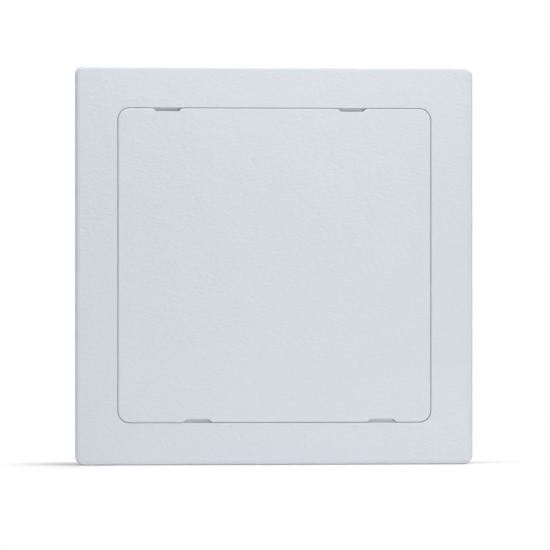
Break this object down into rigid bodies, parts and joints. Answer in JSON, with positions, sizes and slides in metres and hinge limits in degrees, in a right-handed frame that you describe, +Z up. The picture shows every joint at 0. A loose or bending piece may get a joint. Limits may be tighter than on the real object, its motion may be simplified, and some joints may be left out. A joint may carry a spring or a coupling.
{
  "type": "ceiling access panel",
  "caption": "Square white plastic ceiling access panel: a flanged frame whose collar goes into the ceiling hole, and a flush snap-in door on hooks that flex.",
  "frame": {"origin": "centre of the opening, in the plane where the back of the flange seats on the ceiling board", "axes": "+Y goes into the ceiling, the way the collar enters the hole; the face looks along -Y; +Z is up and +X to the right for someone who faces the panel as it is pictured. On a ceiling the panel is turned so that -Y points down."},
  "size_m": [0.241, 0.023, 0.241],
  "materials": {
    "frame_plastic": "white moulded plastic, fine pebbled texture, satin",
    "door_plastic": "white moulded plastic, fine pebbled texture, satin",
    "hook_plastic": "white moulded plastic, plain and smooth"
  },
  "bodies": {
    "frame": {"frame": "frame_plastic"},
    "door": {"door_panel": "door_plastic"},
    "hook_upper_left": {"snap_hook_upper_left": "hook_plastic"},
    "hook_upper_right": {"snap_hook_upper_right": "hook_plastic"},
    "hook_lower_left": {"snap_hook_lower_left": "hook_plastic"},
    "hook_lower_right": {"snap_hook_lower_right": "hook_plastic"}
  },
  "joints": [
    {"name": "door_pull_off", "type": "slide", "parent": "frame", "child": "door", "axis": [0, -1, 0], "range_m": [0, 0.06]},
    {"name": "upper_left_flex", "type": "hinge", "parent": "door", "child": "hook_upper_left", "pos_m": [-0.065, -0.0001, 0.0895], "axis": [-1, 0, 0], "range_deg": [0, 8], "stiffness_Nm_per_rad": 1},
    {"name": "upper_right_flex", "type": "hinge", "parent": "door", "child": "hook_upper_right", "pos_m": [0.0468, -0.0001, 0.0895], "axis": [-1, 0, 0], "range_deg": [0, 8], "stiffness_Nm_per_rad": 1},
    {"name": "lower_left_flex", "type": "hinge", "parent": "door", "child": "hook_lower_left", "pos_m": [-0.0468, -0.0001, -0.0895], "axis": [1, 0, 0], "range_deg": [0, 8], "stiffness_Nm_per_rad": 1},
    {"name": "lower_right_flex", "type": "hinge", "parent": "door", "child": "hook_lower_right", "pos_m": [0.065, -0.0001, -0.0895], "axis": [1, 0, 0], "range_deg": [0, 8], "stiffness_Nm_per_rad": 1}
  ]
}
